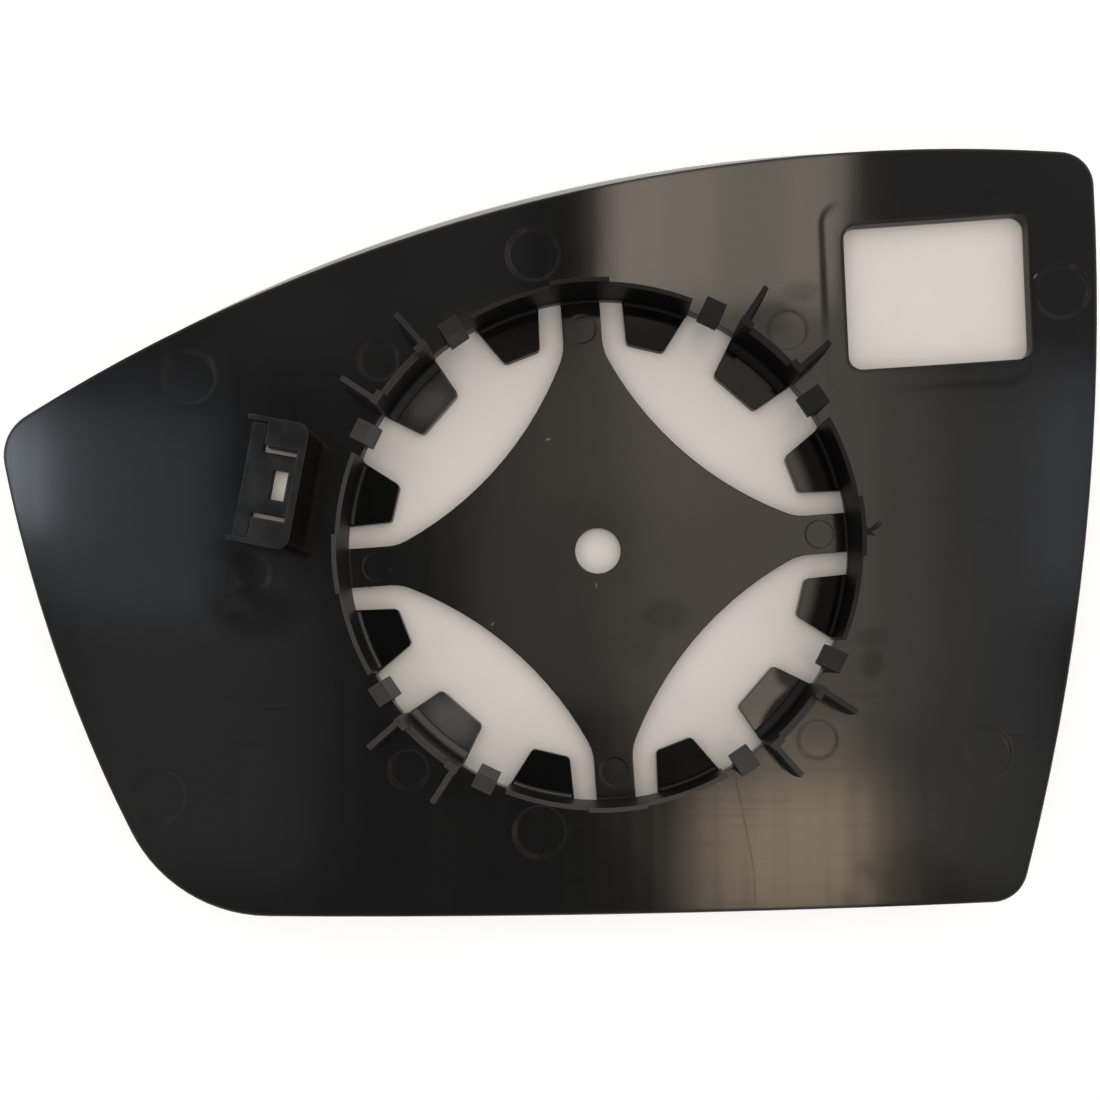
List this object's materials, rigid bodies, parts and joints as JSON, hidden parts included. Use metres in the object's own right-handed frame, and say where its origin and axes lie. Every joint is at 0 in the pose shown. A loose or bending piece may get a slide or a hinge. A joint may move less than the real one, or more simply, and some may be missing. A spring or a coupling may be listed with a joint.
{
  "type": "door mirror glass",
  "caption": "Convex glass for a car door mirror, on a black moulded backing plate with a clip ring that snaps on the adjusting motor, a terminal hood and a window.",
  "frame": {"origin": "centre hole of the hub, on the hub's upper face, on the axis of the clip ring", "axes": "+Z along the clip ring's axis, away from the mirror face; +X along the long side, towards the window; +Y towards the arched edge"},
  "size_m": [0.1857, 0.1321, 0.0144],
  "materials": {
    "silvered_glass": "polished",
    "white_pad": "matte",
    "white_plastic": "matte",
    "black_plastic": "satin, with fine scuffs"
  },
  "bodies": {
    "root": {"mirror_glass": "silvered_glass", "adhesive_pad": "white_pad", "backing_plate": "black_plastic", "clip_ring": "black_plastic", "terminal_hood": "black_plastic", "terminal_block": "white_plastic"}
  },
  "joints": []
}
